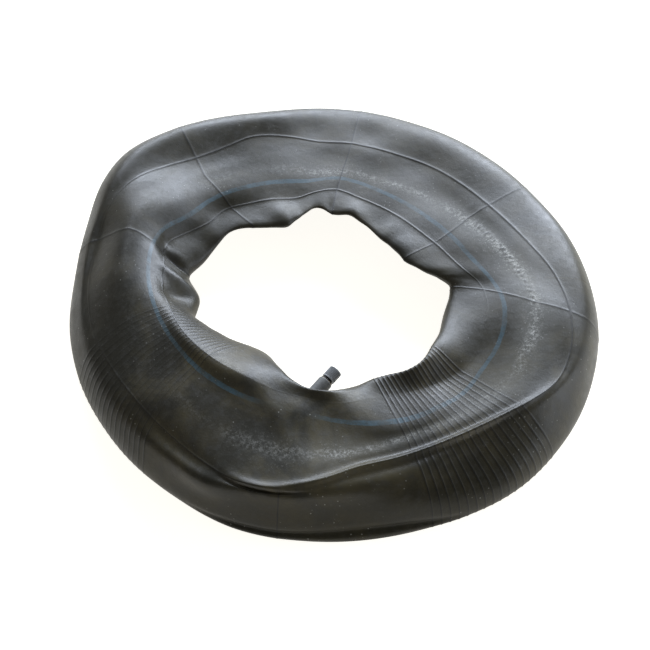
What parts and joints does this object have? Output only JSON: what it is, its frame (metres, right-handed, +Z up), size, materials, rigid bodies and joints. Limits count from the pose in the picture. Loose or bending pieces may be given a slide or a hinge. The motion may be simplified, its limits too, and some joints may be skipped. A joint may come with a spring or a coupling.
{
  "type": "inner tube",
  "caption": "Hollow rubber ring for a small pneumatic wheel, softly filled, with a straight rubber-covered valve in its inner wall, a screw-in spring core and a dust cap.",
  "frame": {"origin": "centre of the ring, on the floor it lies on", "axes": "+Z up through the ring's hole; -Y towards the valve's side of the ring"},
  "size_m": [0.3799, 0.3798, 0.0627],
  "materials": {
    "butyl_rubber": "satin, dusted with talc, with a thin blue stripe round its top",
    "pad_rubber": "satin",
    "stem_rubber": "satin",
    "valve_brass": "turned, slightly dulled",
    "core_brass": "turned",
    "barrel_seal": "smooth",
    "spring_steel": "drawn wire",
    "soft_seal": "matt",
    "cap_plastic": "fine-grained, dark grey"
  },
  "bodies": {
    "tube": {"tube_casing": "butyl_rubber", "valve_foot_pad": "pad_rubber", "valve_stem_rubber": "stem_rubber", "valve_stem_insert": "valve_brass"},
    "cap_washer": {"dust_cap_washer": "soft_seal"},
    "cap": {"dust_cap": "cap_plastic"},
    "core_barrel": {"core_barrel": "core_brass", "core_barrel_seal": "barrel_seal", "core_spring": "spring_steel"},
    "core_plug": {"core_plug": "core_brass"},
    "core_pin": {"core_pin": "core_brass", "core_cup": "core_brass", "core_cup_seal": "soft_seal"}
  },
  "joints": [
    {"name": "cap_lift", "type": "slide", "parent": "tube", "child": "cap_washer", "axis": [0.648, 0.7454, 0.1564], "range_m": [0, 0.00635]},
    {"name": "cap_turn", "type": "hinge", "parent": "cap_washer", "child": "cap", "pos_m": [0.00336, -0.06708, 0.02563], "axis": [0.648, 0.7454, 0.1564], "range_deg": [0, 2880]},
    {"name": "core_rise", "type": "slide", "parent": "tube", "child": "core_barrel", "axis": [0.648, 0.7454, 0.1564], "range_m": [0, 0.00212]},
    {"name": "core_turn", "type": "hinge", "parent": "core_barrel", "child": "core_plug", "pos_m": [0.00272, -0.06783, 0.02548], "axis": [0.648, 0.7454, 0.1564], "range_deg": [0, 1080]},
    {"name": "pin_press", "type": "slide", "parent": "core_barrel", "child": "core_pin", "axis": [-0.648, -0.7454, -0.1564], "range_m": [0, 0.0012], "stiffness_N_per_m": 1200, "springref_m": -0.002, "deforming": ["core_spring"]}
  ],
  "couplings": [
    {"joint": "cap_turn", "follows": "cap_lift", "rad_per_m": 7915.8},
    {"joint": "core_turn", "follows": "core_rise", "rad_per_m": 8905.3}
  ]
}
